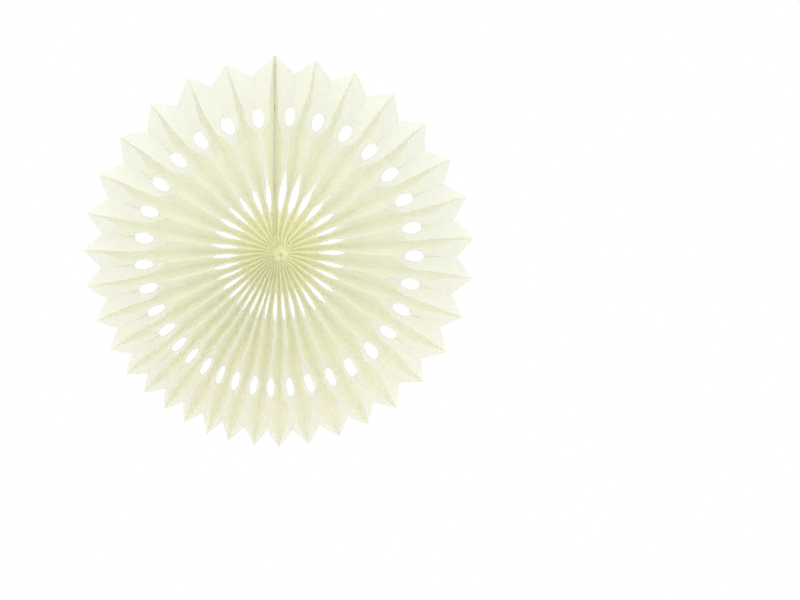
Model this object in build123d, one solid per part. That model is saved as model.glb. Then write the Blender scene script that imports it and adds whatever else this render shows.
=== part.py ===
from build123d import *
import os
from math import asin, atan2, cos, degrees, exp, hypot, pi, radians, sin

# Hanging fan rosette of die-cut honeycomb tissue, opened to a full circle.
# Units are millimetres. The fan hangs in the XZ plane, +Z up, its front faces -Y,
# and the origin lies on the hub, halfway through the depth of the fan. The hub sags
# a little below the middle of the ring of points.
#
# The fan is a pad of equal tissue leaves. Each leaf is bonded to one neighbour along
# its middle line and to the other along its two long edges, so that the opened pad is
# a ring of diamond cells. A cell is two leaves: their middle lines are the left and
# the right corner of the diamond, and their edges meet at its front and its back.

# Leaf blank, cut from the pad by one die
tip_radius = 200.0  # hub axis to the point of a leaf
end_slant = 16.0  # length over which the outer end slants from the edges to the point
tip_flat = 0.8  # half width that is left at the point
tissue = 0.15  # thickness of a leaf
bond = 0.03  # glue film between two leaves
hub_slack = 1.25  # room that the inner ends have round the hub, 1 being packed tight
tip_depth = 9.0  # half depth that the widest cell would still have at the points

# Notches that the die cuts in both long edges
lens_start = 40.0  # inner, pointed notch
lens_length = 30.0
lens_depth = 10.0
oval_inset = 50.0  # from the point of the leaf to the outer, round notch
oval_length = 20.0
oval_depth = 10.0
front_bond_short = 12.0  # the front edges come unglued this far inside the round notch
front_loosen = 17.0  # length over which the loose front halves fall back

# Spread of the cells round the circle, wide at the top and bunched at the bottom
cell_count = 34
middle_left = 3.0  # middle of the ring of points, to the left of the hub
middle_up = 3.5  # and above it
spread_start = 0.7  # degrees, mean turn of the pattern clockwise from straight up
sag_swing = 15.5  # degrees, how far the weight of the fan draws the leaves down
sag_lean = 18.0  # degrees, how far the widest cells lie to one side of the top
pinch_swing = 2.0  # degrees, second bunching at the sides
pinch_lean = 26.0
open_share_least = 0.05  # share of the half cell that a loose front half covers above the hub
open_share_hung = 0.6  # the same where the leaves hang straight down

# Two card stays that close the circle, with a sticky strip between them
card = 1.0  # thickness of a stay
card_inner = 17.0  # its inner end, from the middle of the ring of points
card_proud = 1.0  # how far its point stands beyond the leaves
card_offset = 6.7  # distance of the closed join from the hub axis
hang_hole = 3.0  # diameter of the hole that a hanging thread goes through
hang_hole_drop = 10.0  # its centre below the points of the stays
join_reach = 25.0  # degrees over which the leaves beside the join lean with it
strip = 0.8  # thickness of the sticky strip
strip_width = 24.0
strip_start = 19.0  # its lower end, from the middle of the ring of points
strip_length = 168.0

# Thread loop that draws the inner ends together
thread = 0.6  # thickness
thread_clearance = 0.1

edge_end = tip_radius - end_slant
oval_end = tip_radius - oval_inset
oval_start = oval_end - oval_length
lens_end = lens_start + lens_length
front_bond_end = oval_start - front_bond_short
join_half = card + strip / 2
join_left = card_offset - middle_left
join_angle = -degrees(asin(join_left / tip_radius))


def tip_angle(k):
    """Angle of tip line k, clockwise from straight up, in degrees."""
    if k == 0:
        return join_angle
    if k == cell_count:
        return join_angle + 360
    turn = 360 * k / cell_count
    sag = sag_swing * sin(radians(turn - sag_lean))
    pinch = pinch_swing * cos(radians(2 * turn + pinch_lean))
    return spread_start + turn + sag + pinch


cell_angles = [tip_angle(k + 1) - tip_angle(k) for k in range(cell_count)]
widest = max(cell_angles)
narrowest = min(cell_angles)
hub_radius = hub_slack * (tissue + bond) / sin(radians(narrowest / 2))
leaf_half = hypot(tip_radius * sin(radians(widest / 2)), tip_depth)


def stations():
    """Radii at which the leaves are drawn, from the hub to the point."""
    lens_steps = 3
    oval_steps = 4
    lens = [lens_start + lens_length * i / lens_steps for i in range(lens_steps + 1)]
    oval = [oval_start + oval_length * (1 - cos(pi * i / oval_steps)) / 2 for i in range(oval_steps + 1)]
    return [hub_radius, card_inner] + lens + [front_bond_end] + oval + [edge_end, tip_radius]


def cut_half(r):
    """Half width of the die-cut leaf at the radius r."""
    if lens_start < r < lens_end:
        share = (r - lens_start) / lens_length
        return leaf_half - lens_depth * 4 * share * (1 - share)
    if oval_start < r < oval_end:
        share = (r - oval_start) / oval_length
        return leaf_half - oval_depth * 2 * (share * (1 - share)) ** 0.5
    if r > edge_end:
        share = (r - edge_end) / end_slant
        return leaf_half + (tip_flat - leaf_half) * share
    return leaf_half


def line_point(k, r, side):
    """Point at the radius r of tip line k. Side is +1 or -1 where two leaves part at the join."""
    angle = tip_angle(k)
    rise = min(1, (r - hub_radius) / (card_inner - hub_radius))
    off_join = min(angle - join_angle, join_angle + 360 - angle)
    lean = -join_left * exp(-off_join / join_reach) * (1 - r / tip_radius)
    aside = side * join_half if k in (0, cell_count) else 0
    ray = Vector(r * sin(radians(angle)), 0, r * cos(radians(angle)))
    return ray + Vector(lean + aside - middle_left, 0, middle_up) * rise


def front_share(cell, r):
    """Share of the half cell that the front half of a leaf spans at the radius r."""
    middle = radians((tip_angle(cell) + tip_angle(cell + 1)) / 2)
    open_share = open_share_least + (open_share_hung - open_share_least) * max(0, -cos(middle)) ** 2
    bonded = exp(-max(0, r - front_bond_end) / front_loosen)
    return open_share + (1 - open_share) * bonded


def leaf_ring(cell, mirror, r):
    """The six corners of a leaf's section at the radius r, round the sheet."""
    left = line_point(cell, r, 1)
    right = line_point(cell + 1, r, -1)
    corner = right if mirror else left
    inward = (left - right if mirror else right - left).normalized()
    half_span = (right - left).length / 2
    back = asin((half_span - bond) / hypot(leaf_half, tissue)) - atan2(tissue, leaf_half)
    front = asin(front_share(cell, r) * sin(back))
    width = cut_half(r)

    def place(across, depth):
        return corner + inward * (bond / 2 + across) + Vector(0, depth, 0)

    fold = tissue / sin(front + back)
    return [
        place(width * sin(front), -width * cos(front)),
        place(0, 0),
        place(width * sin(back), width * cos(back)),
        place(width * sin(back) + tissue * cos(back), width * cos(back) - tissue * sin(back)),
        place(fold * (sin(front) + sin(back)), fold * (cos(back) - cos(front))),
        place(width * sin(front) + tissue * cos(front), -width * cos(front) + tissue * sin(front)),
    ]


def skin(rings):
    """Solid whose flat triangles join each six-cornered ring to the next."""
    front_out, fold_out, back_out, back_in, fold_in, front_in = range(6)
    panels = [(fold_out, front_out), (fold_out, back_out), (fold_in, front_in), (fold_in, back_in)]
    rims = [(front_out, front_in), (back_out, back_in)]
    faces = []

    def triangle(a, b, c):
        faces.append(Face(Wire.make_polygon([a, b, c])))

    for near, far in zip(rings, rings[1:]):
        for i, j in panels + rims:
            triangle(near[i], near[j], far[j])
            triangle(near[i], far[j], far[i])
    for end in (rings[0], rings[-1]):
        for edge_out, edge_in in rims:
            triangle(end[fold_out], end[edge_out], end[edge_in])
            triangle(end[fold_out], end[edge_in], end[fold_in])
    return Solid(Shell(faces))


def tissue_cell(cell):
    """The two leaves of a cell, bonded along their edges."""
    return [skin([leaf_ring(cell, mirror, r) for r in stations()]) for mirror in (False, True)]


def die_cut_face():
    """Flat outline of a stay, cut like the leaves, measured from the middle of the ring of points."""
    point = tip_radius + card_proud
    half = [(leaf_half, card_inner), (leaf_half, edge_end), (tip_flat, point)]
    outline = half + [(-y, z) for y, z in reversed(half)]
    face = make_face(Polyline(*outline, close=True))
    lens_middle = lens_start + lens_length / 2
    for side in (-1, 1):
        edge = side * leaf_half
        near = (edge, lens_start)
        far = (edge, lens_end)
        cut = ThreePointArc(near, (edge - lens_depth, lens_middle), far)
        cut += ThreePointArc(far, (edge + lens_depth, lens_middle), near)
        face -= make_face(cut)
        face -= Pos(edge, oval_start + oval_length / 2) * Ellipse(oval_depth, oval_length / 2)
    return face - Pos(0, point - hang_hole_drop) * Circle(hang_hole / 2)


def card_stay(side):
    """Stay on one side of the join, its face against the leaf beside it."""
    plate = extrude(Plane.YZ * die_cut_face(), card)
    inner_face = -card_offset + (strip / 2 if side > 0 else -strip / 2 - card)
    return Pos(inner_face, 0, middle_up) * plate


def closing_strip():
    """Sticky strip that holds the two stays together."""
    box = Box(strip, strip_width, strip_length, align=(Align.CENTER, Align.CENTER, Align.MIN))
    return Pos(-card_offset, 0, middle_up + strip_start) * box


def hub_thread():
    """Loop of thread inside the ring of inner ends, straight from one cell to the next."""
    outer = hub_radius * cos(radians(widest / 2)) - thread_clearance
    ring = RegularPolygon(outer, cell_count) - RegularPolygon(outer - thread, cell_count)
    return extrude(Plane.XZ * ring, thread / 2, both=True)


def build_parts():
    """All pieces by name."""
    parts = {f"tissue_cell_{cell + 1:02d}": tissue_cell(cell) for cell in range(cell_count)}
    parts["card_stay_right"] = [card_stay(1)]
    parts["card_stay_left"] = [card_stay(-1)]
    parts["closing_strip"] = [closing_strip()]
    parts["hub_thread"] = [hub_thread()]
    return parts


os.makedirs("parts", exist_ok=True)
for name, solids in build_parts().items():
    export_step(Compound(label=name, children=solids), f"parts/{name}.step")
    print(f"{name}: {len(solids)} solid(s), {sum(s.volume for s in solids):.1f} mm3")
print(f"leaf half width {leaf_half:.2f} mm, hub radius {hub_radius:.2f} mm")
print(f"widest cell {widest:.2f} degrees, narrowest {narrowest:.2f} degrees")
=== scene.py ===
"""Looks of a hanging fan rosette: die-cut tissue leaves opened to a circle, and the stays that close it."""
import logging
from dataclasses import dataclass, field, replace
from enum import Enum
from math import acos, asin, atan2, cos, degrees, exp, hypot, pi, radians, sin, tan

import bmesh
import bpy
from bpy.types import Material, Node, NodeSocket, NodeTree, Object
from mathutils import Euler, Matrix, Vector, noise


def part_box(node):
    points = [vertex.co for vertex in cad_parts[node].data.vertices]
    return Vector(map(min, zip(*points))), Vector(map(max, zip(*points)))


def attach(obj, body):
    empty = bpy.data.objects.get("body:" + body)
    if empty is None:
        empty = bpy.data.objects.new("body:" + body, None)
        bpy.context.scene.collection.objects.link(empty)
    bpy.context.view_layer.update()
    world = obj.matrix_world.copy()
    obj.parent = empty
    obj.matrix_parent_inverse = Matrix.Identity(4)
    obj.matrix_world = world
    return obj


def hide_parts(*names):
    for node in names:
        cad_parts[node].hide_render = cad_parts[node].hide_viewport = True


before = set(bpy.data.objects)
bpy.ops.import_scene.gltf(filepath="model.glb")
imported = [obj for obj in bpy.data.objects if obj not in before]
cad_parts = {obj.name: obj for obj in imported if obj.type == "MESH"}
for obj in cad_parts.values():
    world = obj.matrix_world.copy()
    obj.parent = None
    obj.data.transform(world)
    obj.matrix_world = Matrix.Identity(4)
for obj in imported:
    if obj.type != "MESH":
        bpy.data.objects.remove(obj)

logging.basicConfig(level=logging.INFO, format="%(message)s")
log = logging.getLogger("fan")

MM = 0.001
ROUNDING = 0.001  # slack of a share that is compared with another
NOISE_SPAN = (0.3, 0.7)  # middle range of a noise pattern
WHITE = (1, 1, 1, 1)
Pair = tuple[float, float]
Triple = tuple[float, float, float]
Colour = Triple
Tones = tuple[Colour, Colour]  # a deep and a pale one
DRIFT_GAIN = 1.6  # brings the noise to about -1 to 1
SEED_STEP = (17.3, 3.9)  # places of two seeds lie this far apart in the noise, across and up
ROW_STEP = (5.71, -2.33)  # and so do those of two rows


class Slot(Enum):
    """Names of three materials: tissue, card and thread."""

    TISSUE = "tissue"
    CARD = "card"
    THREAD = "thread"


class Half(Enum):
    """The two halves of a leaf, and the side of the fan that each faces."""

    FRONT = -1
    BACK = 1


class Side(Enum):
    """The two leaves of a cell. The value points from the leaf's fold into the cell."""

    LEFT = 1
    RIGHT = -1


def smooth(edge_low: float, edge_high: float, value: float) -> float:
    """Ease from 0 at the low edge to 1 at the high edge.

    Args:
        edge_low: Value at which the result leaves 0.
        edge_high: Value at which the result reaches 1.
        value: Value to place between the edges.

    Returns:
        The eased share, from 0 to 1.
    """
    share = max(0.0, min(1.0, (value - edge_low) / (edge_high - edge_low)))
    return share * share * (3 - 2 * share)


def drift(seed: float, row: float, along: float) -> float:
    """Slow wander along a line of paper, the same on every run.

    Args:
        seed: Number of the kind of wander.
        row: Number of the line, so that lines differ.
        along: Place along the line, in wavelengths.

    Returns:
        A value between about -1 and 1.
    """
    aside, up = (seed * SEED_STEP[i] + row * ROW_STEP[i] for i in range(2))
    return DRIFT_GAIN * noise.noise(Vector((aside, along, up)))


def deselect() -> None:
    """Deselect everything, the CAD nodes too."""
    bpy.ops.object.select_all(action="DESELECT")


def activate(obj: Object) -> None:
    """Select one object alone and make it active.

    Args:
        obj: The object.
    """
    deselect()
    obj.select_set(True)
    bpy.context.view_layer.objects.active = obj


def copy_sheet(blank: Object) -> Object:
    """Copy a flat sheet, with a mesh of its own.

    Args:
        blank: The flat sheet.

    Returns:
        The copy.
    """
    sheet = blank.copy()
    sheet.data = blank.data.copy()
    bpy.context.collection.objects.link(sheet)
    return sheet


def modify(obj: Object, kind: str, **settings: object) -> None:
    """Give a modifier to the active object and apply it.

    Args:
        obj: The object.
        kind: Kind of the modifier.
        settings: Its settings.
    """
    modifier = obj.modifiers.new(kind.lower(), kind)
    for name, value in settings.items():
        setattr(modifier, name, value)
    bpy.ops.object.modifier_apply(modifier=modifier.name)


def add_node(
    tree: NodeTree, kind: str, values: dict | None = None, sources: dict | None = None, **settings: object
) -> Node:
    """Add a shader node, set it up and link what feeds it.

    Args:
        tree: Nodes of a material or of the world.
        kind: Kind of the node.
        values: Fixed value of each input that is set.
        sources: Socket that feeds each linked input.
        settings: Settings of the node itself.

    Returns:
        The node.
    """
    node = tree.nodes.new(f"ShaderNode{kind}")
    for name, setting in settings.items():
        setattr(node, name, setting)
    for key, value in (values or {}).items():
        node.inputs[key].default_value = value
    for key, source in (sources or {}).items():
        tree.links.new(source, node.inputs[key])
    return node


@dataclass(frozen=True)
class Spread:
    """How the cells of the opened pad spread round the circle, wide at the top and bunched at the bottom."""

    cell_count: int = 34
    start: float = 0.7  # degrees clockwise from straight up
    sag_swing: float = 15.5
    sag_lean: float = 18.0
    pinch_swing: float = 2.0
    pinch_lean: float = 26.0
    join_left: float = 3.7 * MM
    tip_radius: float = 200 * MM

    @property
    def join_angle(self) -> float:
        """Angle of the closed join, in degrees."""
        return -degrees(asin(self.join_left / self.tip_radius))

    def tip_angle(self, line: int) -> float:
        """Angle of a tip line.

        Args:
            line: Number of the line, clockwise from the join.

        Returns:
            Degrees clockwise from straight up.
        """
        if line in (0, self.cell_count):
            return self.join_angle + (360 if line else 0)
        turn = 360 * line / self.cell_count
        sag = self.sag_swing * sin(radians(turn - self.sag_lean))
        pinch = self.pinch_swing * cos(radians(2 * turn + self.pinch_lean))
        return self.start + turn + sag + pinch

    @property
    def cell_angles(self) -> list[float]:
        """Angle that each cell covers, in degrees."""
        return [self.tip_angle(line + 1) - self.tip_angle(line) for line in range(self.cell_count)]


@dataclass(frozen=True)
class DieCut:
    """Outline that one die cuts from every leaf: two notches in each long edge and a slanting end."""

    half_width: float
    inner_end: float
    tip_radius: float = 200 * MM
    tip_flat: float = 0.8 * MM
    lens_start: float = 40 * MM  # pointed notch
    lens_end: float = 70 * MM
    lens_depth: float = 10 * MM
    oval_start: float = 130 * MM  # round notch
    oval_end: float = 150 * MM
    oval_depth: float = 10 * MM
    edge_end: float = 184 * MM  # the slant to the point begins here
    row_step: float = 3 * MM
    hub_row_step: float = 1.4 * MM
    notch_rows: int = 12

    def cut_half(self, radius: float) -> float:
        """Work out the half width that the die leaves.

        Args:
            radius: Distance from the hub along the leaf.

        Returns:
            The half width at that radius.
        """
        if self.lens_start < radius < self.lens_end:
            share = (radius - self.lens_start) / (self.lens_end - self.lens_start)
            return self.half_width - self.lens_depth * 4 * share * (1 - share)
        if self.oval_start < radius < self.oval_end:
            share = (radius - self.oval_start) / (self.oval_end - self.oval_start)
            return self.half_width - self.oval_depth * 2 * (share * (1 - share)) ** 0.5
        share = max(0.0, (radius - self.edge_end) / (self.tip_radius - self.edge_end))
        return self.half_width + (self.tip_flat - self.half_width) * share

    def rows(self) -> list[float]:
        """Work out the radii of the mesh rows, close together where the outline turns fast.

        Returns:
            The radii, from the inner end to the point.
        """
        radii = []
        stretches = (
            (self.inner_end, self.lens_start, self.hub_row_step),
            (self.lens_start, self.lens_end, (self.lens_end - self.lens_start) / self.notch_rows),
            (self.lens_end, self.oval_start, self.row_step),
            (self.oval_start, self.oval_end, 0.0),  # a round notch has closer rows at its ends
            (self.oval_end, self.edge_end, self.row_step),
            (self.edge_end, self.tip_radius, self.row_step),
        )
        for start, end, step in stretches:
            count = max(1, round((end - start) / step)) if step else self.notch_rows
            for i in range(count):
                share = i / count if step else (1 - cos(pi * i / count)) / 2
                radii.append(start + (end - start) * share)
        return radii + [self.tip_radius]

    def make_blank(self, name: str, columns: int, lap: float) -> Object:
        """Cut the flat sheet from a grid, its length along Y and its middle line on x = 0.

        Args:
            name: Name of the sheet.
            columns: Faces across each half.
            lap: Width of the narrow outermost face.

        Returns:
            The flat sheet.
        """
        rows = self.rows()
        length = rows[-1] - rows[0]
        step = length / (len(rows) - 1)
        deselect()
        bpy.ops.mesh.primitive_grid_add(
            x_subdivisions=2 * columns,
            y_subdivisions=len(rows) - 1,
            size=1,
            location=(0, rows[0] + length / 2, 0),
        )
        blank = bpy.context.object
        blank.name = name
        blank.scale = (2 * self.half_width, length, 1)
        bpy.ops.object.transform_apply(location=True, rotation=True, scale=True)
        bpy.ops.object.mode_set(mode="EDIT")
        bpy.ops.mesh.select_mode(type="VERT")
        mesh = bmesh.from_edit_mesh(blank.data)
        pitch = self.half_width / columns
        across: dict[int, list[int]] = {}
        along: dict[int, list[int]] = {}
        for vert in mesh.verts:
            across.setdefault(round(vert.co.x / pitch), []).append(vert.index)
            along.setdefault(round((vert.co.y - rows[0]) / step), []).append(vert.index)
        for column, line in across.items():
            if 0 < abs(column) < columns:
                self.select_line(blank, line)
                shift = column * ((self.half_width - lap) / (columns - 1) - pitch)
                bpy.ops.transform.translate(value=(shift, 0, 0))
        for row, line in along.items():
            self.select_line(blank, line)
            narrow = self.cut_half(rows[row]) / self.half_width
            bpy.ops.transform.resize(value=(narrow, 1, 1), center_override=(0, 0, 0))
            bpy.ops.transform.translate(value=(0, rows[row] - rows[0] - row * step, 0))
        bpy.ops.object.mode_set(mode="OBJECT")
        return blank

    @staticmethod
    def select_line(blank: Object, line: list[int]) -> None:
        """Select one line of vertices of a sheet in edit mode.

        Args:
            blank: The sheet.
            line: Numbers of its vertices.
        """
        bpy.ops.mesh.select_all(action="DESELECT")
        mesh = bmesh.from_edit_mesh(blank.data)
        mesh.verts.ensure_lookup_table()
        for index in line:
            mesh.verts[index].select = True
        mesh.select_flush_mode()
        bmesh.update_edit_mesh(blank.data)


@dataclass
class Paintbox:
    """The nodes of one material. Its patterns read the piece's own coordinates."""

    name: str
    roughness: float
    material: Material = field(init=False)
    shader: Node = field(init=False)

    def __post_init__(self) -> None:
        """Start the material with a plain shader."""
        self.material = bpy.data.materials.new(self.name)
        self.material.use_nodes = True
        self.shader = self.material.node_tree.nodes["Principled BSDF"]
        self.shader.inputs["Roughness"].default_value = self.roughness

    def add(
        self, kind: str, values: dict | None = None, sources: dict | None = None, **settings: object
    ) -> Node:
        """Add a node to the material, as add_node does."""
        return add_node(self.material.node_tree, kind, values, sources, **settings)

    def feed(self, target: str, source: NodeSocket) -> None:
        """Let a socket drive an input of the shader."""
        self.material.node_tree.links.new(source, self.shader.inputs[target])

    def grain(
        self, size: float, detail: float = 3.0, stretch: Triple = (1, 1, 1), rough: float = 0.5
    ) -> NodeSocket:
        """Add a noise pattern.

        Args:
            size: Size of its patches in metres.
            detail: Octaves of finer noise.
            stretch: How much longer the patches are along each axis.
            rough: Share of the finer octaves.

        Returns:
            Socket with a value about 0.5.
        """
        place = self.add("TexCoord").outputs["Object"]
        mapping = self.add("Mapping", {"Scale": [1 / share for share in stretch]}, {"Vector": place})
        values = {"Scale": 1 / size, "Detail": detail, "Roughness": rough}
        return self.add("TexNoise", values, {"Vector": mapping.outputs["Vector"]}).outputs["Fac"]

    def along(self, place: str, axis: str) -> NodeSocket:
        """One component of a coordinate of the piece."""
        return self.add("SeparateXYZ", None, {"Vector": self.add("TexCoord").outputs[place]}).outputs[axis]

    def ease(self, source: NodeSocket, start: Pair, end: Pair = (0, 1), kind: str = "LINEAR") -> NodeSocket:
        """Map a value from one range to another, and hold it there.

        Args:
            source: The value.
            start: Its range.
            end: Range of the result.
            kind: Way of easing.

        Returns:
            Socket with the result.
        """
        values = {"From Min": start[0], "From Max": start[1], "To Min": end[0], "To Max": end[1]}
        return self.add("MapRange", values, {"Value": source}, interpolation_type=kind).outputs["Result"]

    def from_fold(self) -> NodeSocket:
        """Value that is 0 on the middle line of a leaf and 1 at its long edges."""
        centred = self.add("Math", {1: 2, 2: -1}, {0: self.along("UV", "X")}, operation="MULTIPLY_ADD")
        return self.add("Math", None, {0: centred.outputs[0]}, operation="ABSOLUTE").outputs[0]

    def mix(self, share: float, first: NodeSocket, second: NodeSocket) -> NodeSocket:
        """Mix two patterns, with a fixed share of the second."""
        return self.add("Mix", {0: share}, {2: first, 3: second}).outputs[0]

    def blend(self, share: NodeSocket, first: NodeSocket, second: NodeSocket) -> NodeSocket:
        """Blend two colours, with the share of the second from a socket."""
        return self.add("Mix", None, {0: share, 6: first, 7: second}, data_type="RGBA").outputs[2]

    def ramp(self, source: NodeSocket, *stops: tuple[float, Colour]) -> NodeSocket:
        """Turn a value into a colour.

        Args:
            source: Value from 0 to 1.
            stops: Places and linear colours.

        Returns:
            Socket with the colour.
        """
        node = self.add("ValToRGB", None, {"Fac": source})
        while len(node.color_ramp.elements) < len(stops):
            node.color_ramp.elements.new(0.5)
        for element, (place, colour) in zip(node.color_ramp.elements, stops):
            element.position = place
            element.color = (*colour, 1)
        return node.outputs["Color"]

    def emboss(self, *layers: tuple[NodeSocket, float, float]) -> None:
        """Add relief to the shader.

        Args:
            layers: Height pattern, depth in metres and strength of each layer.
        """
        under = {}
        for height, depth, strength in layers:
            bump = self.add("Bump", {"Distance": depth, "Strength": strength}, {"Height": height, **under})
            under = {"Normal": bump.outputs["Normal"]}
        self.feed("Normal", under["Normal"])


@dataclass(frozen=True)
class Finish:
    """A procedural finish. Subclasses lay down its pattern."""

    name: str
    roughness: float

    def make(self) -> Material:
        """Build the material.

        Returns:
            The material.
        """
        box = Paintbox(self.name, self.roughness)
        self.paint(box)
        return box.material

    def paint(self, box: Paintbox) -> None:
        """Lay down the pattern."""
        raise NotImplementedError


@dataclass(frozen=True)
class TissueFinish(Finish):
    """Cream tissue paper that lets light through, with cloudy pulp, fine fibres and a faint crinkle. Its tones
    hold painted light and shade: a painted glow towards the hub, painted highlights on the long edges, painted
    shade in the folds, and a painted shift where the leaves hang.
    """

    name: str = "cream_tissue"
    roughness: float = 0.85
    rim: Tones = ((0.85, 0.86, 0.67), (0.89, 0.895, 0.72))  # single layers outside the round notches
    rim_lit_below: Tones = ((0.88, 0.872, 0.68), (0.925, 0.912, 0.73))  # the same where the leaves hang below the hub, paler: painted light that offsets the weaker light from below
    inner: Tones = ((0.89, 0.89, 0.695), (0.91, 0.905, 0.745))  # double layers inside the round notches, painted paler than the rim: painted light that offsets the shade between the stacked layers
    # where the leaves hang the inner tones are yellower: painted shade
    inner_shaded_below: Tones = ((0.89, 0.89, 0.65), (0.91, 0.91, 0.70))
    inner_edge_highlight: Tones = ((0.98, 0.98, 0.79), (0.99, 0.99, 0.83))  # their long edges: painted highlight
    hub: Tones = ((0.948, 0.944, 0.565), (0.967, 0.963, 0.665))  # crowded inner ends, from fold to edge as painted pleat shade, and paler and yellower overall as a painted glow of light through the stacked ends
    # where the leaves hang the hub tones are yellower: painted shade
    hub_shaded_below: Tones = ((0.945, 0.935, 0.40), (0.98, 0.975, 0.56))
    # painted highlight on the long edges of the crowded inner ends
    hub_edge_highlight: Colour = (0.997, 0.995, 0.82)
    core: Tones = ((0.984, 0.982, 0.82), (0.99, 0.987, 0.86))  # round the hub axis, above it: near white, painted light that offsets the deep shade between the crowded ends
    core_lit_below: Tones = ((0.996, 0.994, 0.85), (0.998, 0.996, 0.88))  # and below it, paler still: painted light that offsets the weaker light from below
    highlight_reach: Pair = (0.93, 0.97)  # share of the half width where the painted edge highlight fades in
    core_reach: Pair = (0.02, 0.11)  # share of the leaf's length where the tone fades out
    hub_reach: Pair = (0.06, 0.36)
    rim_reach: Pair = (0.52, 0.66)
    light_shift_reach: Pair = (-10 * MM, -95 * MM)  # height over which the tones turn to the painted ones where the leaves hang
    core_turn: Pair = (8 * MM, -6 * MM)  # the same for the painted core tone round the hub axis
    pulp_span: Pair = (0.35, 0.65)  # range of the pulp pattern between a deep and a pale tone
    pleat_shade_span: tuple[float, ...] = (0.0, 0.6, 0.86, 0.95)  # shares of the half width, one for each tone of the painted pleat shade
    cloud_size: float = 11 * MM
    fibre_size: float = 0.9 * MM
    fibre_share: float = 0.35
    crinkle_size: float = 5 * MM
    crinkle_relief: Pair = (0.25 * MM, 0.25)  # depth and strength
    fibre_relief: Pair = (0.02 * MM, 0.15)
    shine: Pair = (0.8, 0.92)  # range of the roughness
    gloss: float = 0.2
    cover: float = 0.3  # share of the light that one face of a sheet stops

    def paint(self, box: Paintbox) -> None:
        """Lay down the pulp, the tones from the hub to the rim with their painted light and shade, and the
        relief.

        Args:
            box: Nodes of the material.
        """
        cloud = box.grain(self.cloud_size, 2, rough=0.6)
        fibre = box.grain(self.fibre_size, 1, (1, 1, 2.5), 0.6)
        crinkle = box.grain(self.crinkle_size, 2, (1, 1, 2), 0.55)
        pulp = box.mix(self.fibre_share, cloud, fibre)
        height = box.along("Object", "Z")
        # painted light and shade by height: this mask turns the tones to those painted for where the leaves
        # hang below the hub
        hung = box.ease(height, self.light_shift_reach)
        rim = box.blend(hung, self.mottle(box, pulp, self.rim), self.mottle(box, pulp, self.rim_lit_below))
        inner = box.blend(hung, self.mottle(box, pulp, self.inner), self.mottle(box, pulp, self.inner_shaded_below))
        # painted highlight along the long edges of the leaves
        edge_highlight_mask = box.ease(box.from_fold(), self.highlight_reach)
        inner = box.blend(edge_highlight_mask, inner, self.mottle(box, pulp, self.inner_edge_highlight))
        hub = box.blend(hung, self.pleat_shade(box, self.hub), self.pleat_shade(box, self.hub_shaded_below))
        # painted light: the core is paler below the hub axis
        below = box.ease(height, self.core_turn)
        core = box.blend(below, self.mottle(box, pulp, self.core), self.mottle(box, pulp, self.core_lit_below))
        # painted light: from the rim in to the hub the tones grow paler and yellower, a painted glow through
        # the stacked layers
        tone = core
        for reach, outer in ((self.core_reach, hub), (self.hub_reach, inner), (self.rim_reach, rim)):
            tone = box.blend(box.ease(box.along("UV", "Y"), reach, kind="SMOOTHSTEP"), tone, outer)
        box.feed("Base Color", tone)
        box.feed("Roughness", box.ease(cloud, NOISE_SPAN, self.shine))
        box.emboss((crinkle, *self.crinkle_relief), (fibre, *self.fibre_relief))
        box.shader.inputs["Alpha"].default_value = self.cover
        box.shader.inputs["Specular IOR Level"].default_value = self.gloss

    def mottle(self, box: Paintbox, pulp: NodeSocket, tones: Tones) -> NodeSocket:
        """Colour that wanders between two tones with the pulp."""
        return box.ramp(pulp, *zip(self.pulp_span, tones))

    def pleat_shade(self, box: Paintbox, tones: Tones) -> NodeSocket:
        """Painted shade and highlight: colour that goes from the deep tone at the fold to the light one near
        the long edges.
        """
        stops = zip(self.pleat_shade_span, (tones[0], tones[0], tones[1], self.hub_edge_highlight))
        return box.ramp(box.from_fold(), *stops)


@dataclass(frozen=True)
class CardFinish(Finish):
    """Board with pale facing paper and a darker core of pressed pulp on its cut edges."""

    name: str = "cream_board"
    roughness: float = 0.82
    pale: Colour = (0.985, 0.98, 0.83)
    deep: Colour = (0.97, 0.965, 0.79)
    core_pale: Colour = (0.59, 0.59, 0.46)
    core_deep: Colour = (0.51, 0.51, 0.39)
    speck_size: float = 0.7 * MM
    cloud_size: float = 7 * MM
    tone_span: Pair = (0.35, 0.62)  # range of the pattern between the deep and the pale tone
    face_turn: Pair = (0.5, 0.9)  # how squarely a face looks aside where the facing paper begins
    shine: Pair = (0.75, 0.9)
    relief: Pair = (0.05 * MM, 0.4)

    def paint(self, box: Paintbox) -> None:
        """Lay down the speckled facing paper and the core of the cut edges.

        Args:
            box: Nodes of the material.
        """
        speck = box.grain(self.speck_size, 4, (1, 1, 1.6), 0.7)
        mixed = box.mix(0.5, box.grain(self.cloud_size, 3), speck)
        face = box.ramp(mixed, *zip(self.tone_span, (self.deep, self.pale)))
        core = box.ramp(mixed, *zip(self.tone_span, (self.core_deep, self.core_pale)))
        facing = box.add("Math", None, {0: box.along("Normal", "X")}, operation="ABSOLUTE").outputs[0]
        box.feed("Base Color", box.blend(box.ease(facing, self.face_turn), core, face))
        box.feed("Roughness", box.ease(speck, NOISE_SPAN, self.shine))
        box.emboss((speck, *self.relief))


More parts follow.
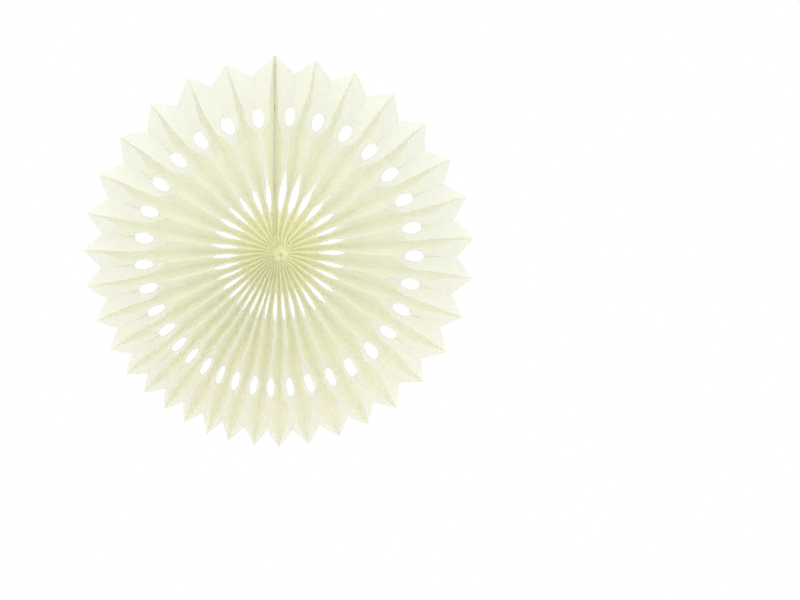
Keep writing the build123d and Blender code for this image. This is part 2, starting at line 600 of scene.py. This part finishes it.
@dataclass(frozen=True)
class GrainFinish(Finish):
    """Finish with one fine grain of random tone, its deeper tone laid in the hollows of the relief as painted
    shade. Subclasses say how fine and how deep.
    """

    pale: Colour
    deep: Colour
    size: float
    detail: float
    rough: float
    shine: Pair  # range of the roughness
    relief: Pair  # depth and strength
    tone_span: Pair = (0.4, 0.6)

    def paint(self, box: Paintbox) -> None:
        """Lay down the grain, with painted shade in its hollows.

        Args:
            box: Nodes of the material.
        """
        grain = box.grain(self.size, self.detail, rough=self.rough)
        # the deep tone falls where the relief is low: painted shade in the hollows
        box.feed("Base Color", box.ramp(grain, *zip(self.tone_span, (self.deep, self.pale))))
        box.feed("Roughness", box.ease(grain, NOISE_SPAN, self.shine))
        box.emboss((grain, *self.relief))


@dataclass(frozen=True)
class StripFinish(GrainFinish):
    """White foam strip with glue on both faces, its cut edge finely pitted, with painted shade in the pits."""

    name: str = "white_strip"
    roughness: float = 0.7
    pale: Colour = (0.90, 0.90, 0.84)
    deep: Colour = (0.80, 0.80, 0.72)
    size: float = 0.35 * MM
    detail: float = 2.0
    rough: float = 0.6
    shine: Pair = (0.6, 0.85)
    relief: Pair = (0.06 * MM, 0.5)


@dataclass(frozen=True)
class ThreadFinish(GrainFinish):
    """Natural cotton thread, with painted shade between its fibres."""

    name: str = "cotton_thread"
    roughness: float = 0.9
    pale: Colour = (0.86, 0.85, 0.72)
    deep: Colour = (0.66, 0.64, 0.5)
    size: float = 0.15 * MM
    detail: float = 3.0
    rough: float = 0.7
    shine: Pair = (0.82, 0.95)
    relief: Pair = (0.03 * MM, 0.6)


@dataclass(frozen=True)
class Stretch:
    """Stretch of the leaf over which a form comes in and later dies away, in millimetres from the hub."""

    start: float
    full: float
    fading: float = 900.0  # beyond the point, so that it lasts
    gone: float = 1000.0
    left: float = 0.0  # share that is left at the end

    def at(self, radius: float) -> float:
        """Share of the form at a radius in metres."""
        fade = (1 - self.left) * smooth(self.fading, self.gone, radius / MM)
        return smooth(self.start, self.full, radius / MM) * (1 - fade)


@dataclass(frozen=True)
class Wave:
    """Slow wander along the paper. The seed tells its kind from the others."""

    seed: int
    amount: float
    length: float = 1.0

    def at(self, row: float, place: float, half: int = 0) -> float:
        """Wander of a row at a place along it. The half shifts the seed."""
        return self.amount * drift(self.seed + half, row, place / self.length)


@dataclass(frozen=True)
class Spot:
    """A place on a leaf: its cell, clockwise from the join, its side of it, and how far from the hub."""

    cell: int
    side: Side
    half: Half
    radius: float

    @property
    def line(self) -> int:
        """Number of the tip line along which the leaf is bonded to the leaf behind it."""
        return self.cell if self.side is Side.LEFT else self.cell + 1

    @property
    def leaf(self) -> float:
        """Number that differs from leaf to leaf."""
        return self.cell + 0.5 * self.side.value


@dataclass
class TissueFan:
    """The ring of tissue leaves. A cell is two leaves, bonded along their front and back edges."""

    spread: Spread = Spread()
    finish: TissueFinish = TissueFinish()
    tissue: float = 0.15 * MM
    bond: float = 0.03 * MM
    sheet: float = 0.08 * MM  # thickness that is shown
    hub_slack: float = 1.25
    tip_depth: float = 9 * MM
    card_inner: float = 17 * MM
    join_half: float = 1.4 * MM
    join_reach: float = 25.0
    join_close: float = 0.7 * MM  # length over which the end leaves close up at the inner ends of the stays
    middle_left: float = 3.0 * MM
    middle_up: float = 3.5 * MM
    columns: int = 8  # faces across each half of a leaf
    lap: float = 2.6 * MM  # width of the glued lap along the back edges, at the sides
    lap_least: float = 0.2 * MM
    lap_on: Stretch = Stretch(122, 150, 154, 174)
    line_wander: Pair = (1.0 * MM, 1.4 * MM)  # the second is added where the leaves stand or hang straight
    line_sway: Wave = Wave(1, 1, 48 * MM)
    line_depth: Wave = Wave(2, 1.5 * MM, 48 * MM)
    line_free: Stretch = Stretch(20, 90)
    curl_aside: Wave = Wave(13, 1.6 * MM)
    curl_ahead: Wave = Wave(14, 3.2 * MM)
    curl_on: Stretch = Stretch(150, 210)
    slip: Wave = Wave(15, 0.7 * MM)  # how far a pair of leaves sits in or out of line
    slip_on: Stretch = Stretch(30, 110)
    notch_slip: float = 3 * MM  # how much further out the pointed notches sit where the leaves hang
    notch_slip_on: Stretch = Stretch(34, 58, 80, 116)
    front_bond_short: float = 12 * MM  # the front edges come unglued this far inside the round notch
    front_bond_wander: Wave = Wave(16, 0.35)
    front_loosen: Triple = (10 * MM, 17 * MM, 12 * MM)  # over which they fall back: aside, above, below
    open_share: Pair = (0.03, 0.55)  # share of the half cell that a loose front half covers, above and below
    open_wander: Wave = Wave(3, 0.3, 60 * MM)
    belly: float = 0.34  # how much more it covers at its widest, outside the round notch
    belly_on: Stretch = Stretch(142, 159, 162, 192, -0.16 / 0.34)
    lean: Wave = Wave(17, 1.3 * MM, 70 * MM)  # how far a pair of loose front halves leans to one side
    lean_on: Stretch = Stretch(124, 170)
    stay_lean: Pair = (0.3 * MM, 2.1 * MM)  # how far those right and left of the stays lean away
    stay_lean_on: Stretch = Stretch(118, 150, 150, 192, 0.15)
    hang: float = 10 * MM  # how far the loose front half below a tip line hangs away from it, at the sides
    hang_lost: float = 0.8  # share of that which is lost where the leaves hang straight down
    hang_wander: Wave = Wave(20, 0.25, 60 * MM)
    hang_on: Stretch = Stretch(118, 138, 152, 184, 0.12)
    slit: float = 2.0 * MM  # half width of the slit along the front edges, at the top
    slit_turn: float = 8.0  # degrees, the direction where it is widest
    slit_fade: float = 1.3  # power by which it narrows towards the sides
    slit_hung: float = 0.5  # share by which it is narrower where the leaves hang
    slit_by_stay: float = 1.4  # how much wider it is beside the stays
    slit_wave: Wave = Wave(4, 0.7, 24 * MM)
    slit_apart: float = 0.13  # how far apart its two sides wander, as a share of a cell
    slit_least: float = 0.15
    slit_on: Stretch = Stretch(26, 70)
    parted: float = 3.0 * MM  # how far the glued edges have come apart round the pointed notches near the top
    parted_front: float = 0.4  # share of that at the front
    parted_at: Pair = (12.0, 18.0)  # degrees, the direction where they have most, and the spread
    parted_on: Stretch = Stretch(36, 52, 66, 92)
    edge_wave: Wave = Wave(5, 1.1 * MM, 48 * MM)
    edge_free: Stretch = Stretch(15, 80)
    edge_span: Pair = (-0.2, 0.97)  # least and most share of its width that an edge reaches aside
    edge_room: float = 1.05  # room that each sheet takes where two are glued, in thicknesses
    lap_behind: float = 1.5  # how far behind the other the outer lap lies, in thicknesses
    inner_reach: float = 1.6 * MM  # the limp inner ends crowd in to this radius
    tuck: float = 52.0  # degrees, how far the crowded front edges lie over near the hub
    tuck_mean: float = 0.85  # share of that on the average
    tuck_wave: Wave = Wave(19, 0.25)
    tuck_wave_cells: int = 6  # cells over which it wanders
    tuck_reach: Pair = (1 * MM, 10.5 * MM)
    tuck_room: float = 4.4  # room that the two sheets of a cell take when they lie over, in thicknesses
    tuck_over: float = 2.1  # how far one of them rises over the other, in thicknesses
    bulge: float = 0.7 * MM
    bulge_wave: Wave = Wave(7, 0.8, 70 * MM)
    bulge_free: Stretch = Stretch(12, 60)
    bulge_power: float = 0.7  # the lower, the fuller towards fold and edge
    crease: Wave = Wave(10, 0.35, 14 * MM)
    crease_slant: float = 1.2  # how far a crease runs outwards from fold to edge, in its own lengths
    crease_turn: float = 0.35  # how much it changes on the way
    smooth_below: float = 40.0  # degrees, edges that are flatter are shaded smooth
    cut: DieCut = field(init=False)

    def __post_init__(self) -> None:
        """Work out the leaf's width and inner end from the spread of the cells."""
        self.angles = self.spread.cell_angles
        half = hypot(self.spread.tip_radius * sin(radians(max(self.angles) / 2)), self.tip_depth)
        self.hub_radius = self.hub_slack * (self.tissue + self.bond) / sin(radians(min(self.angles) / 2))
        self.cut = DieCut(half_width=half, inner_end=self.inner_reach)

    def middle_angle(self, cell: int) -> float:
        """Angle of the middle of a cell, in degrees clockwise from straight up."""
        return 0.5 * (self.spread.tip_angle(cell) + self.spread.tip_angle(cell + 1))

    @staticmethod
    def hung(angle: float) -> float:
        """How straight down an angle in degrees points, from 0 at the sides and above to 1."""
        return max(0.0, -cos(radians(angle)))

    def fold_point(self, line: int, radius: float, side: Side) -> Vector:
        """Place on the middle line where two leaves are bonded.

        Args:
            line: Number of the tip line.
            radius: Distance from the hub along the leaf.
            side: Which leaf asks, since two leaves part at the join.

        Returns:
            The point, in metres.
        """
        angle = self.spread.tip_angle(line)
        rise = max(0.0, min(1.0, (radius - self.hub_radius) / (self.card_inner - self.hub_radius)))
        off_join = min(angle - self.spread.join_angle, self.spread.join_angle + 360 - angle)
        reach = exp(-off_join / self.join_reach)
        lean = -self.spread.join_left * reach * (1 - radius / self.cut.tip_radius)
        at_join = line in (0, self.spread.cell_count)
        closing = smooth(self.card_inner - self.join_close, self.card_inner + self.join_close, radius)
        aside = side.value * self.join_half * closing if at_join else 0
        ray = Vector((sin(radians(angle)), 0, cos(radians(angle))))
        across = Vector((cos(radians(angle)), 0, -sin(radians(angle))))
        point = ray * radius + Vector((lean + aside - self.middle_left, 0, self.middle_up)) * rise
        if not at_join:
            free, curl = self.line_free.at(radius), self.curl_on.at(radius)
            wander = self.line_wander[0] + self.line_wander[1] * cos(radians(angle)) ** 2
            sway = self.line_sway.at(line, radius) * wander * free + self.curl_aside.at(line, 0.4) * curl
            depth = self.line_depth.at(line, radius) * free + self.curl_ahead.at(line, 0.4) * curl
            point += across * sway + Vector((0, depth, 0))
        return point

    def across_cell(self, spot: Spot) -> tuple[Vector, Vector, float]:
        """Way from the fold of a leaf to the opposite one.

        Args:
            spot: Place on the leaf.

        Returns:
            The point on the fold, the direction into the cell, and half of the width of the cell.
        """
        left = self.fold_point(spot.cell, spot.radius, Side.LEFT)
        right = self.fold_point(spot.cell + 1, spot.radius, Side.RIGHT)
        inward = (right - left) * spot.side.value
        inward.y = 0
        return (left if spot.side is Side.LEFT else right), inward.normalized(), inward.length / 2

    def line_slip(self, line: int, radius: float) -> float:
        """Slip of the leaves of a tip line against the others.

        Args:
            line: Number of the tip line.
            radius: Distance from the hub along the leaf.

        Returns:
            Distance that the place sits further out than on the flat leaf.
        """
        slip = 0.0 if line in (0, self.spread.cell_count) else self.slip.at(line, 0.3)
        notch = self.notch_slip * self.notch_slip_on.at(radius)
        return slip * self.slip_on.at(radius) + notch * self.hung(self.spread.tip_angle(line)) ** 2

    def front_share(self, spot: Spot) -> float:
        """Opening of the front half of a leaf.

        Args:
            spot: Place on the leaf.

        Returns:
            Share of the half cell that the front half spans.
        """
        middle = self.middle_angle(spot.cell)
        hung, upright = self.hung(middle) ** 2, self.hung(middle + 180) ** 2
        short = self.front_bond_short * (1 + self.front_bond_wander.at(spot.cell, 0.2))
        aside, above, below = self.front_loosen
        loosen = aside + (above - aside) * upright + (below - aside) * hung
        bonded = exp(-max(0.0, spot.radius - (self.cut.oval_start - short)) / loosen)
        least, most = self.open_share
        share = least + (most + self.belly * self.belly_on.at(spot.radius) - least) * hung
        share *= 1 + self.open_wander.at(spot.leaf, spot.radius)
        return share + (1 - share) * bonded

    def loose_shift(self, spot: Spot) -> float:
        """Shift of a loose front half, leaning with its neighbour or hanging away from it.

        Args:
            spot: Place on the leaf.

        Returns:
            Distance into the cell, at the full width of the leaf.
        """
        if spot.line == 0:
            lean = self.stay_lean[0] * self.stay_lean_on.at(spot.radius)
        elif spot.line == self.spread.cell_count:
            lean = -self.stay_lean[1] * self.stay_lean_on.at(spot.radius)
        else:
            upright = cos(radians(self.spread.tip_angle(spot.line))) ** 2
            lean = upright * self.lean_on.at(spot.radius) * self.lean.at(spot.line, spot.radius)
        angle = self.spread.tip_angle(spot.line)
        below = max(0.0, spot.side.value * sin(radians(angle))) * (1 - self.hang_lost * self.hung(angle))
        wander = 1 + self.hang_wander.at(spot.line, spot.radius)
        return spot.side.value * lean + self.hang * below * self.hang_on.at(spot.radius) * wander

    def back_lap(self, spot: Spot) -> float:
        """Width over which the back edges of a cell lie on each other."""
        level = sin(radians(self.middle_angle(spot.cell))) ** 2
        return self.lap_least + (self.lap - self.lap_least) * level * self.lap_on.at(spot.radius)

    def gap(self, spot: Spot) -> float:
        """Gap between the edges of a cell: a slit at the front, and parted glue round the pointed notches.

        Args:
            spot: Place on the leaf that asks.

        Returns:
            Half width of the gap.
        """
        middle = (self.middle_angle(spot.cell) + 180) % 360 - 180
        near = exp(-(((middle - self.parted_at[0]) / self.parted_at[1]) ** 2))
        parted = self.parted * near * self.parted_on.at(spot.radius)
        if spot.half is Half.BACK:
            return parted
        turn = cos(radians(middle - self.slit_turn))
        slit = self.slit * abs(turn) ** self.slit_fade * (1 - self.slit_hung * max(0.0, -turn))
        if spot.cell in (0, self.spread.cell_count - 1):
            slit *= self.slit_by_stay
        wave = self.slit_wave.at(spot.cell + self.slit_apart * spot.side.value, spot.radius)
        slit *= self.slit_on.at(spot.radius) * max(self.slit_least, 1 - self.slit_least + wave)
        return slit + self.parted_front * parted

    def edge_point(self, spot: Spot) -> Vector:
        """Place that the full-width edge of a leaf half reaches.

        Args:
            spot: Place on the leaf.

        Returns:
            The point, in metres.
        """
        fold, inward, half_span = self.across_cell(spot)
        width = self.cut.half_width
        reach = half_span - self.bond / 2 - self.edge_room * self.sheet
        shift = self.edge_wave.at(spot.cell, spot.radius, spot.half.value)
        reach += shift * spot.side.value * self.edge_free.at(spot.radius) - self.gap(spot)
        if spot.half is Half.FRONT:
            reach = reach * self.front_share(spot) + self.loose_shift(spot)
        reach = max(self.edge_span[0] * width, min(reach, self.edge_span[1] * width))
        depth = (width * width - reach * reach) ** 0.5
        return fold + inward * (self.bond / 2 + reach) + Vector((0, spot.half.value * depth, 0))

    def lap_point(self, spot: Spot, edge: Vector, share: float) -> Vector:
        """Place of a point on the lap that folds flat over the back edge of the neighbour.

        Args:
            spot: Place on the leaf.
            edge: Where the plain edge would be.
            share: How far across the lap, from 0 to 1.

        Returns:
            The point, in metres.
        """
        inward = self.across_cell(spot)[1]
        behind = self.lap_behind * self.sheet if spot.side is Side.RIGHT else 0.0
        return edge + inward * self.back_lap(spot) / 2 * (2 * share - 1) + Vector((0, behind, 0))

    def tuck_point(self, spot: Spot, fold: Vector, edge: Vector, share: float) -> Vector:
        """Place of a point on the front strip that lies over to one side near the hub.

        Args:
            spot: Place on the leaf.
            fold: Point on the leaf's middle line.
            edge: Where the plain edge would be.
            share: How far out from the middle line, from 0 to 1.

        Returns:
            The point, in metres.
        """
        turn = radians(self.tuck * (1 - smooth(*self.tuck_reach, spot.radius)))
        turn *= self.tuck_mean + self.tuck_wave.at(0, spot.cell / self.tuck_wave_cells)
        pitch = spot.radius * radians(self.angles[spot.cell])
        turn = min(turn, acos(min(1.0, self.tuck_room * self.sheet / pitch)))
        root_share = 1 - self.lap / self.cut.half_width
        root = fold + (edge - fold) * root_share
        over = self.tuck_over * self.sheet * tan(turn / 2) if spot.side is Side.LEFT else 0.0
        angle = radians(self.middle_angle(spot.cell))
        aside = Vector((cos(angle), 0, -sin(angle)))
        ahead = (edge - fold).normalized() * cos(turn) + aside * sin(turn)
        return root + ahead * (edge - fold).length * (share - root_share) - Vector((0, over, 0))

    def sheet_point(self, cell: int, side: Side, across: float, radius: float) -> Vector:
        """Place in the opened fan of a point of the flat leaf.

        Args:
            cell: Number of the cell, clockwise from the join.
            side: Which leaf of the cell.
            across: Distance from the middle line, negative on the front half.
            radius: Distance from the hub along the leaf.

        Returns:
            The point, in metres.
        """
        half = Half.FRONT if across < 0 else Half.BACK
        flat = Spot(cell, side, half, radius)
        spot = Spot(cell, side, half, radius + self.line_slip(flat.line, radius))
        fold = self.fold_point(spot.line, spot.radius, side)
        edge = self.edge_point(spot)
        share = abs(across) / self.cut.half_width
        lap_start = 1 - self.lap / self.cut.half_width
        if share > lap_start - ROUNDING:
            if half is Half.BACK:
                return self.lap_point(spot, edge, (share - lap_start) / (1 - lap_start))
            if spot.radius < self.tuck_reach[1]:
                return self.tuck_point(spot, fold, edge, share)
        out = (edge - fold).cross(Vector((fold.x, 0, fold.z))).normalized() * side.value * half.value
        free = sin(pi * min(1.0, share)) ** self.bulge_power * self.bulge_free.at(spot.radius)
        wave = self.bulge_wave.at(spot.leaf, spot.radius, half.value)
        slant = self.crease_slant * share * self.crease.length
        wave += self.crease.at(spot.leaf + self.crease_turn * share, spot.radius + slant, half.value)
        return fold + (edge - fold) * share + out * free * self.bulge * wave

    def map_sheet(self, blank: Object) -> None:
        """Give the flat leaf its own coordinates, across and along the paper.

        Args:
            blank: The flat leaf.
        """
        sheet = blank.data.uv_layers[0]
        sheet.name = "sheet"
        for loop in blank.data.loops:
            flat = blank.data.vertices[loop.vertex_index].co
            across = 0.5 + 0.5 * flat.x / self.cut.half_width
            sheet.data[loop.index].uv = (across, flat.y / self.cut.tip_radius)

    def build_cell(self, blank: Object, cell: int) -> Object:
        """Open two copies of the flat leaf into a cell, as one piece of closed sheets.

        Args:
            blank: The flat leaf.
            cell: Number of the cell, clockwise from the join.

        Returns:
            The finished piece.
        """
        left, right = (copy_sheet(blank) for _ in Side)
        for side, leaf in ((Side.LEFT, left), (Side.RIGHT, right)):
            for vert in leaf.data.vertices:
                vert.co = self.sheet_point(cell, side, vert.co.x, vert.co.y)
        right.data.flip_normals()
        activate(left)
        right.select_set(True)
        bpy.ops.object.join()
        left.name = f"leaves_{cell + 1:02d}"
        left.data.name = left.name
        modify(left, "SOLIDIFY", thickness=self.sheet, offset=1)
        bpy.ops.object.shade_smooth_by_angle(angle=radians(self.smooth_below))
        return left

    def build(self) -> None:
        """Make every cell, dress it and let it stand for its CAD node."""
        material = self.finish.make()
        blank = self.cut.make_blank("leaf_blank", self.columns, self.lap)
        self.map_sheet(blank)
        for cell in range(self.spread.cell_count):
            piece = self.build_cell(blank, cell)
            piece.data.materials.clear()
            piece.data.materials.append(material)
            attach(piece, "root")
            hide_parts(f"tissue_cell_{cell + 1:02d}")
        bpy.data.objects.remove(blank)
        log.info("tissue: %d cells, leaf %.1f mm wide", self.spread.cell_count, 2 * self.cut.half_width / MM)


@dataclass
class Stays:
    """The two die-cut card stays, which the strip between them pulls together at their long edges."""

    leaf: DieCut
    card: CardFinish = CardFinish()
    strip: StripFinish = StripFinish()
    join_left: float = 6.7 * MM  # distance of the closed join from the hub axis
    middle_up: float = 3.5 * MM
    inner_end: float = 17 * MM
    proud: float = 1.0 * MM
    thickness: float = 1.0 * MM
    strip_half: float = 0.4 * MM
    pinch: float = 0.36 * MM  # how far each long edge bends towards the other stay
    pinch_from: float = 12.2 * MM  # from the middle line
    pinch_to: float = 16.5 * MM
    columns: int = 13
    edge_round: float = 0.12 * MM
    edge_angle: float = 50.0  # degrees, edges that are sharper are rounded
    smooth_below: float = 35.0
    hole: float = 3 * MM
    hole_drop: float = 10 * MM

    def build(self) -> None:
        """Make both stays and dress the strip."""
        board = self.card.make()
        point = self.leaf.tip_radius + self.proud
        cut = replace(self.leaf, inner_end=self.inner_end, tip_radius=point)
        blank = cut.make_blank("stay_blank", self.columns, cut.half_width / self.columns)
        for side, node in ((Side.LEFT, "card_stay_left"), (Side.RIGHT, "card_stay_right")):
            stay = self.bend(blank, side)
            stay.name = f"stay_{side.name.lower()}"
            stay.data.name = stay.name
            activate(stay)
            modify(stay, "SOLIDIFY", thickness=self.thickness, offset=1)
            limit = {"limit_method": "ANGLE", "angle_limit": radians(self.edge_angle)}
            modify(stay, "BEVEL", width=self.edge_round, segments=2, **limit)
            self.punch(stay, point - self.hole_drop)
            stay.data.materials.clear()
            stay.data.materials.append(board)
            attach(stay, "root")
            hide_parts(node)
        bpy.data.objects.remove(blank)
        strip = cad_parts["closing_strip"]
        strip.data.materials.clear()
        strip.data.materials.append(self.strip.make())
        log.info("stays: two cards %.0f mm long and the strip", (point - self.inner_end) / MM)

    def bend(self, blank: Object, side: Side) -> Object:
        """Copy the flat stay and stand it beside the join, its long edges bent towards it.

        Args:
            blank: The flat stay.
            side: Which stay.

        Returns:
            The face of the stay that the strip sticks to, turned away from the join.
        """
        stay = copy_sheet(blank)
        away = -side.value
        for vert in stay.data.vertices:
            across, along = vert.co.x, vert.co.y
            closed = smooth(self.pinch_from, self.pinch_to, abs(across))
            aside = away * (self.strip_half - self.pinch * closed)
            vert.co = (aside - self.join_left, across, along + self.middle_up)
        if stay.data.polygons[0].normal.x * away < 0:
            stay.data.flip_normals()
        return stay

    def punch(self, stay: Object, height: float) -> None:
        """Punch the hanging hole.

        Args:
            stay: The stay.
            height: Distance of the hole from the middle of the ring of points.
        """
        deselect()
        bpy.ops.mesh.primitive_cylinder_add(
            vertices=40,
            radius=self.hole / 2,
            depth=8 * self.thickness,
            location=(-self.join_left, 0, height + self.middle_up),
            rotation=(0, pi / 2, 0),
        )
        tool = bpy.context.object
        activate(stay)
        modify(stay, "BOOLEAN", object=tool, operation="DIFFERENCE", solver="EXACT")
        bpy.data.objects.remove(tool)
        bpy.ops.object.shade_smooth_by_angle(angle=radians(self.smooth_below))


@dataclass
class HubThread:
    """Loop of three-ply thread through the inner ends of the leaves, tied with a small knot."""

    finish: ThreadFinish = ThreadFinish()
    plies: int = 3
    twists: int = 22
    ply_depth: float = 0.22  # share of the thickness that the grooves between plies go in
    knot_radius: float = 1.0 * MM
    knot_lift: float = 1.4  # how far its turns pass over each other, in thicknesses
    knot_thin: float = 0.8  # the thread of the knot is drawn thinner
    knot_open: float = 0.62  # mean radius of its lobes, as a share of its own
    knot_lobe: float = 0.38  # how far they swing in and out
    loop_faces: tuple[int, int] = (176, 12)  # along the thread and round it
    knot_faces: tuple[int, int] = (120, 10)
    centre: Vector = field(init=False)
    thick: float = field(init=False)  # radius of the thread

    def build(self) -> None:
        """Make the loop where the CAD ring is, and its knot."""
        low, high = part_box("hub_thread")
        outer = (high.x - low.x) / 2
        self.thick = (high.y - low.y) / 2
        self.centre = (low + high) / 2
        loop = self.ring("thread_loop", outer - self.thick, self.loop_faces)
        self.twist(loop, outer - self.thick)
        knot = self.ring("thread_knot", self.knot_radius, self.knot_faces)
        self.tie(knot)
        cotton = self.finish.make()
        for piece in (loop, knot):
            piece.data.materials.append(cotton)
            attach(piece, "root")
            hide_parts("hub_thread")
        log.info("thread: loop %.1f mm across and its knot", 2 * outer / MM)

    def ring(self, name: str, radius: float, faces: tuple[int, int]) -> Object:
        """Make a plain ring of thread round the hub axis.

        Args:
            name: Name of the ring.
            radius: Radius of its centre line.
            faces: Faces along the thread and round it.

        Returns:
            The ring.
        """
        deselect()
        bpy.ops.mesh.primitive_torus_add(
            location=self.centre,
            rotation=(pi / 2, 0, 0),
            major_segments=faces[0],
            minor_segments=faces[1],
            major_radius=radius,
            minor_radius=self.thick,
        )
        ring = bpy.context.object
        ring.name = name
        bpy.ops.object.transform_apply(location=True, rotation=True, scale=True)
        bpy.ops.object.shade_smooth()
        return ring

    def tie(self, knot: Object) -> None:
        """Wind a ring into the knot that draws the loop tight, in the middle of the hub.

        Args:
            knot: The ring.
        """
        for vert in knot.data.vertices:
            arm = vert.co - self.centre
            turn = atan2(arm.z, arm.x)
            out = Vector((cos(turn), 0, sin(turn)))
            around = (arm - out * self.knot_radius) * self.knot_thin
            aim = Vector((cos(2 * turn), 0, sin(2 * turn)))
            reach = self.knot_radius * (self.knot_open + self.knot_lobe * cos(3 * turn)) + around.dot(out)
            lift = self.knot_lift * self.thick * sin(3 * turn) + around.y
            vert.co = self.centre + aim * reach + Vector((0, lift, 0))

    def twist(self, loop: Object, radius: float) -> None:
        """Press the grooves between the plies into a plain ring.

        Args:
            loop: The ring.
            radius: Radius of its centre line.
        """
        for vert in loop.data.vertices:
            arm = vert.co - self.centre
            flat = Vector((arm.x, 0, arm.z))
            ring = flat.normalized() * radius
            turn = Vector((0, 0, 1)).angle(flat) * (1 if flat.x >= 0 else -1)
            around = Vector((1, 0)).angle_signed(Vector((flat.length - radius, arm.y)), 0)
            groove = 1 - self.ply_depth * (0.5 + 0.5 * cos(self.plies * around + self.twists * turn))
            vert.co = self.centre + ring + (arm - ring).normalized() * self.thick * groove


@dataclass
class Studio:
    """White surroundings, one soft key light from above the camera, a pale floor and the camera."""

    photo_width: int = 800
    photo_height: int = 600
    pixel: float = 1.027 * MM  # real size of a pixel of the photograph at the fan
    hub_column: float = 281.5
    hub_row: float = 255.0
    distance: float = 8.0
    surround_low: float = 0.58
    surround_high: float = 1.0
    front_glow: float = 0.55  # extra light of the white wall behind the camera
    front_focus: float = 3.0
    key_power: float = 9.0
    key_size: Pair = (1.6, 1.0)
    key_place: Triple = (-0.5, -1.6, 2.0)
    sheets_seen: int = 512  # layers of tissue that a ray may pass
    bounces: int = 48
    soft_bounces: int = 40
    floor_drop: float = 0.60
    floor_half: float = 1.5
    floor_tone: Colour = (0.93, 0.93, 0.92)
    floor_roughness: float = 0.9
    sensor: float = 36.0  # millimetres, as the lens
    view_end: float = 40.0

    def light(self) -> None:
        """Make the surroundings and the key light."""
        scene = bpy.context.scene
        scene.view_settings.view_transform = "Standard"
        scene.cycles.transparent_max_bounces = self.sheets_seen
        scene.cycles.max_bounces = self.bounces
        scene.cycles.diffuse_bounces = self.soft_bounces
        self.surround(scene)
        key = bpy.data.lights.new("key", "AREA")
        key.shape = "RECTANGLE"
        key.size, key.size_y = self.key_size
        key.energy = self.key_power
        lamp = bpy.data.objects.new("key", key)
        bpy.context.collection.objects.link(lamp)
        lamp.location = self.key_place
        lamp.rotation_euler = (Vector((0, 0, 0)) - lamp.location).to_track_quat("-Z", "Y").to_euler()

    def surround(self, scene: bpy.types.Scene) -> None:
        """Light from all round, more from above and from the front, behind a white backdrop.

        Args:
            scene: The scene.
        """
        scene.world = bpy.data.worlds.new("studio")
        scene.world.use_nodes = True
        tree = scene.world.node_tree
        tree.nodes.clear()
        place = add_node(tree, "TexCoord")
        split = add_node(tree, "SeparateXYZ", None, {"Vector": place.outputs["Generated"]})
        heights = {"From Min": -1, "To Min": self.surround_low, "To Max": self.surround_high}
        height = add_node(tree, "MapRange", heights, {"Value": split.outputs["Z"]})
        ahead = add_node(tree, "Math", {1: -1}, {0: split.outputs["Y"]}, operation="MULTIPLY", use_clamp=True)
        gather = add_node(tree, "Math", {1: self.front_focus}, {0: ahead.outputs[0]}, operation="POWER")
        sources = {0: gather.outputs[0], 2: height.outputs["Result"]}
        front = add_node(tree, "Math", {1: self.front_glow}, sources, operation="MULTIPLY_ADD")
        glow = add_node(tree, "Background", {"Color": WHITE}, {"Strength": front.outputs[0]})
        seen = add_node(tree, "Background", {"Color": WHITE, "Strength": 1.0})
        by_camera = add_node(tree, "LightPath").outputs["Is Camera Ray"]
        mix = add_node(tree, "MixShader", None, {0: by_camera, 1: glow.outputs[0], 2: seen.outputs[0]})
        add_node(tree, "OutputWorld", None, {"Surface": mix.outputs[0]})

    def lay_floor(self) -> None:
        """Lay the pale floor below the camera's view."""
        deselect()
        bpy.ops.mesh.primitive_plane_add(size=2 * self.floor_half, location=(0, 0, -self.floor_drop))
        floor = bpy.context.object
        floor.name = "floor"
        bpy.ops.object.transform_apply(location=True, rotation=True, scale=True)
        box = Paintbox("pale_floor", self.floor_roughness)
        box.shader.inputs["Base Color"].default_value = (*self.floor_tone, 1)
        floor.data.materials.append(box.material)

    def place_camera(self) -> None:
        """Put the camera straight before the fan, so that the hub lies where the photograph has it."""
        camera = bpy.data.cameras.new("camera")
        camera.sensor_width = self.sensor
        camera.clip_end = self.view_end
        camera.lens = camera.sensor_width * self.distance / (self.photo_width * self.pixel)
        eye = bpy.data.objects.new("camera", camera)
        bpy.context.collection.objects.link(eye)
        right = (self.photo_width / 2 - self.hub_column) * self.pixel
        up = (self.hub_row - self.photo_height / 2) * self.pixel
        eye.location = (right, -self.distance, up)
        eye.rotation_euler = Euler((pi / 2, 0, 0))
        bpy.context.scene.camera = eye

    def build(self) -> None:
        """Make the whole studio."""
        self.light()
        self.lay_floor()
        self.place_camera()
        log.info("studio: ready")


def main() -> None:
    """Build the pieces in order."""
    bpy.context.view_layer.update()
    fan = TissueFan()
    fan.build()
    Stays(fan.cut).build()
    HubThread().build()
    Studio().build()


if __name__ == "__main__":
    main()
